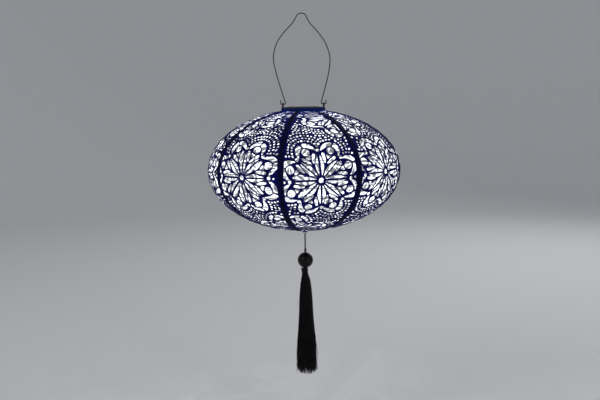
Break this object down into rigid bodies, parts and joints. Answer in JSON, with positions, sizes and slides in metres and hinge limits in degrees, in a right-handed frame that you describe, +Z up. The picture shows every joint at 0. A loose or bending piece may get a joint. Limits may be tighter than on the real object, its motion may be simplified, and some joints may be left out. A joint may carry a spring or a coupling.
{
  "type": "paper lantern",
  "caption": "Hanging solar lantern: oval shell of cut-fabric gores on sprung wire hoops, lift-out solar lamp unit in a plastic collar, wire handle, and a beaded thread tassel.",
  "frame": {"origin": "hang point: underside of the handle wire at its crown, where a hook carries the lantern", "axes": "+Z up along the lantern's axis; the handle and the two ears lie in the XZ plane, with seams on X and Y"},
  "size_m": [0.305, 0.305, 0.5771],
  "materials": {
    "black_wire": "black powder coat on steel wire",
    "collar_plastic": "fine-textured black plastic",
    "hem_fabric": "tightly rolled blue spun-bonded fabric",
    "gore_fabric": "navy outside, white inside, spun-bonded paper-like fabric",
    "tape_fabric": "navy fabric overlap along the seams",
    "hoop_wire": "white-coated spring wire",
    "unit_plastic": "black plastic",
    "housing_plastic": "white plastic cup that reflects the lamp's light",
    "solar_cell": "polycrystalline cell with printed fingers",
    "clear_window": "clear cast epoxy",
    "seal_rubber": "soft seal",
    "board": "green circuit board",
    "board_parts": "small components",
    "led_clear": "clear epoxy nose",
    "battery_sleeve": "shrink sleeve",
    "bright_metal": "nickel-plated",
    "hub_plastic": "white plastic",
    "nub_plastic": "navy plastic",
    "cord_black": "twisted black cord",
    "bead_black": "polished black bead",
    "thread_black": "fine black rayon thread"
  },
  "bodies": {
    "handle": {"handle_wire": "black_wire"},
    "shell": {"collar_ring": "collar_plastic", "hem_band": "hem_fabric", "seam_tapes": "tape_fabric", "gore_1": "gore_fabric", "gore_2": "gore_fabric", "gore_3": "gore_fabric", "gore_4": "gore_fabric", "gore_5": "gore_fabric", "gore_6": "gore_fabric", "gore_7": "gore_fabric", "gore_8": "gore_fabric"},
    "solar_unit": {"solar_cap": "unit_plastic", "solar_cell": "solar_cell", "cell_window": "clear_window", "cell_leads": "bright_metal", "gasket": "seal_rubber", "housing": "housing_plastic", "battery_door": "housing_plastic", "battery": "battery_sleeve", "contact_positive": "bright_metal", "contact_negative": "bright_metal", "circuit_board": "board", "board_parts": "board_parts", "led": "led_clear", "switch_body": "bright_metal", "screws": "bright_metal"},
    "switch": {"switch_slider": "unit_plastic"},
    "hub": {"hub_plate": "hub_plastic", "hub_nub": "nub_plastic", "tassel_eye": "black_wire"},
    "tassel_link": {"tassel_ring": "black_wire"},
    "tassel": {"tassel_cord": "cord_black", "tassel_knot": "cord_black", "tassel_core": "cord_black", "tassel_bead": "bead_black", "neck_binding": "thread_black", "tassel_skirt": "thread_black"},
    "hoop_body_01": {"hoop_01": "hoop_wire"},
    "hoop_body_02": {"hoop_02": "hoop_wire"},
    "hoop_body_03": {"hoop_03": "hoop_wire"},
    "hoop_body_04": {"hoop_04": "hoop_wire"},
    "hoop_body_05": {"hoop_05": "hoop_wire"},
    "hoop_body_06": {"hoop_06": "hoop_wire"},
    "hoop_body_07": {"hoop_07": "hoop_wire"},
    "hoop_body_08": {"hoop_08": "hoop_wire"},
    "hoop_body_09": {"hoop_09": "hoop_wire"},
    "hoop_body_10": {"hoop_10": "hoop_wire"},
    "hoop_body_11": {"hoop_11": "hoop_wire"},
    "hoop_body_12": {"hoop_12": "hoop_wire"},
    "hoop_body_13": {"hoop_13": "hoop_wire"},
    "hoop_body_14": {"hoop_14": "hoop_wire"},
    "hoop_body_15": {"hoop_15": "hoop_wire"},
    "hoop_body_16": {"hoop_16": "hoop_wire"},
    "hoop_body_17": {"hoop_17": "hoop_wire"},
    "hoop_body_18": {"hoop_18": "hoop_wire"},
    "hoop_body_19": {"hoop_19": "hoop_wire"}
  },
  "joints": [
    {"name": "handle_pivot", "type": "hinge", "parent": "handle", "child": "shell", "pos_m": [0, 0, -0.1413], "axis": [1, 0, 0], "range_deg": [-95, 95]},
    {"name": "collapse", "type": "slide", "parent": "shell", "child": "hub", "axis": [0, 0, 1], "range_m": [0, 0.15], "deforming": ["gore_1", "gore_2", "gore_3", "gore_4", "gore_5", "gore_6", "gore_7", "gore_8", "seam_tapes"]},
    {"name": "unit_lift", "type": "slide", "parent": "shell", "child": "solar_unit", "axis": [0, 0, 1], "range_m": [0, 0.045]},
    {"name": "switch_slide", "type": "slide", "parent": "solar_unit", "child": "switch", "axis": [1, 0, 0], "range_m": [0, 0.003]},
    {"name": "ring_swing", "type": "hinge", "parent": "hub", "child": "tassel_link", "pos_m": [0, 0, -0.3479], "axis": [1, 0, 0], "range_deg": [-60, 60]},
    {"name": "tassel_swing", "type": "hinge", "parent": "tassel_link", "child": "tassel", "pos_m": [0, 0, -0.35145], "axis": [0, 1, 0], "range_deg": [-60, 60]},
    {"name": "hoop_01_slide", "type": "slide", "parent": "shell", "child": "hoop_body_01", "axis": [0, 0, 1], "range_m": [0, 0.00426]},
    {"name": "hoop_02_slide", "type": "slide", "parent": "shell", "child": "hoop_body_02", "axis": [0, 0, 1], "range_m": [0, 0.00792]},
    {"name": "hoop_03_slide", "type": "slide", "parent": "shell", "child": "hoop_body_03", "axis": [0, 0, 1], "range_m": [0, 0.01277]},
    {"name": "hoop_04_slide", "type": "slide", "parent": "shell", "child": "hoop_body_04", "axis": [0, 0, 1], "range_m": [0, 0.01891]},
    {"name": "hoop_05_slide", "type": "slide", "parent": "shell", "child": "hoop_body_05", "axis": [0, 0, 1], "range_m": [0, 0.02647]},
    {"name": "hoop_06_slide", "type": "slide", "parent": "shell", "child": "hoop_body_06", "axis": [0, 0, 1], "range_m": [0, 0.0356]},
    {"name": "hoop_07_slide", "type": "slide", "parent": "shell", "child": "hoop_body_07", "axis": [0, 0, 1], "range_m": [0, 0.04643]},
    {"name": "hoop_08_slide", "type": "slide", "parent": "shell", "child": "hoop_body_08", "axis": [0, 0, 1], "range_m": [0, 0.05889]},
    {"name": "hoop_09_slide", "type": "slide", "parent": "shell", "child": "hoop_body_09", "axis": [0, 0, 1], "range_m": [0, 0.07251]},
    {"name": "hoop_10_slide", "type": "slide", "parent": "shell", "child": "hoop_body_10", "axis": [0, 0, 1], "range_m": [0, 0.08632]},
    {"name": "hoop_11_slide", "type": "slide", "parent": "shell", "child": "hoop_body_11", "axis": [0, 0, 1], "range_m": [0, 0.09921]},
    {"name": "hoop_12_slide", "type": "slide", "parent": "shell", "child": "hoop_body_12", "axis": [0, 0, 1], "range_m": [0, 0.11056]},
    {"name": "hoop_13_slide", "type": "slide", "parent": "shell", "child": "hoop_body_13", "axis": [0, 0, 1], "range_m": [0, 0.12021]},
    {"name": "hoop_14_slide", "type": "slide", "parent": "shell", "child": "hoop_body_14", "axis": [0, 0, 1], "range_m": [0, 0.12824]},
    {"name": "hoop_15_slide", "type": "slide", "parent": "shell", "child": "hoop_body_15", "axis": [0, 0, 1], "range_m": [0, 0.13481]},
    {"name": "hoop_16_slide", "type": "slide", "parent": "shell", "child": "hoop_body_16", "axis": [0, 0, 1], "range_m": [0, 0.14004]},
    {"name": "hoop_17_slide", "type": "slide", "parent": "shell", "child": "hoop_body_17", "axis": [0, 0, 1], "range_m": [0, 0.14406]},
    {"name": "hoop_18_slide", "type": "slide", "parent": "shell", "child": "hoop_body_18", "axis": [0, 0, 1], "range_m": [0, 0.14696]},
    {"name": "hoop_19_slide", "type": "slide", "parent": "shell", "child": "hoop_body_19", "axis": [0, 0, 1], "range_m": [0, 0.14879]}
  ],
  "couplings": [
    {"joint": "hoop_01_slide", "follows": "collapse", "ratio": 0.02504},
    {"joint": "hoop_02_slide", "follows": "collapse", "ratio": 0.04948},
    {"joint": "hoop_03_slide", "follows": "collapse", "ratio": 0.08181},
    {"joint": "hoop_04_slide", "follows": "collapse", "ratio": 0.12273},
    {"joint": "hoop_05_slide", "follows": "collapse", "ratio": 0.17313},
    {"joint": "hoop_06_slide", "follows": "collapse", "ratio": 0.23402},
    {"joint": "hoop_07_slide", "follows": "collapse", "ratio": 0.30619},
    {"joint": "hoop_08_slide", "follows": "collapse", "ratio": 0.38924},
    {"joint": "hoop_09_slide", "follows": "collapse", "ratio": 0.48007},
    {"joint": "hoop_10_slide", "follows": "collapse", "ratio": 0.5721},
    {"joint": "hoop_11_slide", "follows": "collapse", "ratio": 0.65807},
    {"joint": "hoop_12_slide", "follows": "collapse", "ratio": 0.73373},
    {"joint": "hoop_13_slide", "follows": "collapse", "ratio": 0.79806},
    {"joint": "hoop_14_slide", "follows": "collapse", "ratio": 0.85161},
    {"joint": "hoop_15_slide", "follows": "collapse", "ratio": 0.89537},
    {"joint": "hoop_16_slide", "follows": "collapse", "ratio": 0.93027},
    {"joint": "hoop_17_slide", "follows": "collapse", "ratio": 0.9571},
    {"joint": "hoop_18_slide", "follows": "collapse", "ratio": 0.9764},
    {"joint": "hoop_19_slide", "follows": "collapse", "ratio": 0.98859}
  ]
}
